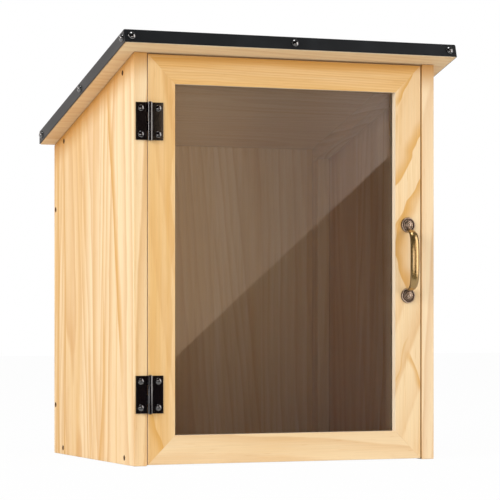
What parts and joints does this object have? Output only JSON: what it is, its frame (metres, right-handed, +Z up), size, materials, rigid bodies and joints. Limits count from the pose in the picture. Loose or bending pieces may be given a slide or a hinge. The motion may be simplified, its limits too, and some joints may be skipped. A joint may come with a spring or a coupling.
{
  "type": "street book exchange box",
  "caption": "Small pine cabinet with a sloped metal-clad roof and a side-hinged glazed door with a bow pull and a magnetic catch, for swapping books outdoors.",
  "frame": {"origin": "middle of the floor panel's underside, in the plane that the box stands on", "axes": "+X to the right as seen from the front, +Y to the back, +Z up; the door is on the -Y side and its hinges on the -X side"},
  "size_m": [0.3744, 0.2816, 0.4354],
  "materials": {
    "pine": "planed pine with a clear satin oil, warm yellow",
    "inner_pine": "planed pine inside the box, a little darker",
    "roof_metal": "charcoal powder coat, satin",
    "black_steel": "black plated steel, semi-gloss",
    "brown_steel": "brown trim-head screws, sunk below the wood's face",
    "brass": "antique brass, brown in the hollows and bright on the grip",
    "zinc_steel": "bright zinc plating",
    "dark_magnet": "dark ferrite with steel edges",
    "catch_plastic": "brown moulded plastic",
    "clear_pane": "clear flat pane"
  },
  "bodies": {
    "cabinet": {"left_side_panel": "pine", "right_side_panel": "pine", "back_panel": "inner_pine", "floor_panel": "inner_pine", "left_roof_cleat": "inner_pine", "right_roof_cleat": "inner_pine", "left_rear_post": "inner_pine", "right_rear_post": "inner_pine", "roof_deck": "pine", "roof_sheet": "roof_metal", "roof_front_screw_left": "black_steel", "roof_front_screw_middle": "black_steel", "roof_front_screw_right": "black_steel", "roof_left_screw_front": "black_steel", "roof_left_screw_middle": "black_steel", "roof_left_screw_rear": "black_steel", "roof_right_screw_front": "black_steel", "roof_right_screw_middle": "black_steel", "roof_right_screw_rear": "black_steel", "left_floor_front_screw": "brown_steel", "left_floor_rear_screw": "brown_steel", "left_cleat_front_screw": "brown_steel", "left_cleat_rear_screw": "brown_steel", "right_floor_front_screw": "brown_steel", "right_floor_rear_screw": "brown_steel", "right_cleat_front_screw": "brown_steel", "right_cleat_rear_screw": "brown_steel", "catch_body": "catch_plastic", "catch_magnet": "dark_magnet", "catch_screw_upper": "zinc_steel", "catch_screw_lower": "zinc_steel", "upper_hinge_fixed_leaf": "black_steel", "upper_hinge_pin": "black_steel", "upper_hinge_fixed_screw_top": "black_steel", "upper_hinge_fixed_screw_bottom": "black_steel", "lower_hinge_fixed_leaf": "black_steel", "lower_hinge_pin": "black_steel", "lower_hinge_fixed_screw_top": "black_steel", "lower_hinge_fixed_screw_bottom": "black_steel"},
    "door": {"door_top_rail": "pine", "door_bottom_rail": "pine", "door_left_stile": "pine", "door_right_stile": "pine", "glazing_pane": "clear_pane", "glazing_bead_top": "inner_pine", "glazing_bead_bottom": "inner_pine", "glazing_bead_left": "inner_pine", "glazing_bead_right": "inner_pine", "door_handle": "brass", "handle_screw_upper": "brass", "handle_screw_lower": "brass", "strike_plate": "zinc_steel", "strike_screw": "zinc_steel", "upper_hinge_door_leaf": "black_steel", "upper_hinge_door_screw_top": "black_steel", "upper_hinge_door_screw_bottom": "black_steel", "lower_hinge_door_leaf": "black_steel", "lower_hinge_door_screw_top": "black_steel", "lower_hinge_door_screw_bottom": "black_steel"}
  },
  "joints": [
    {"name": "door_swing", "type": "hinge", "parent": "cabinet", "child": "door", "pos_m": [-0.1513, -0.1327, 0.2], "axis": [0, 0, -1], "range_deg": [0, 175]}
  ]
}
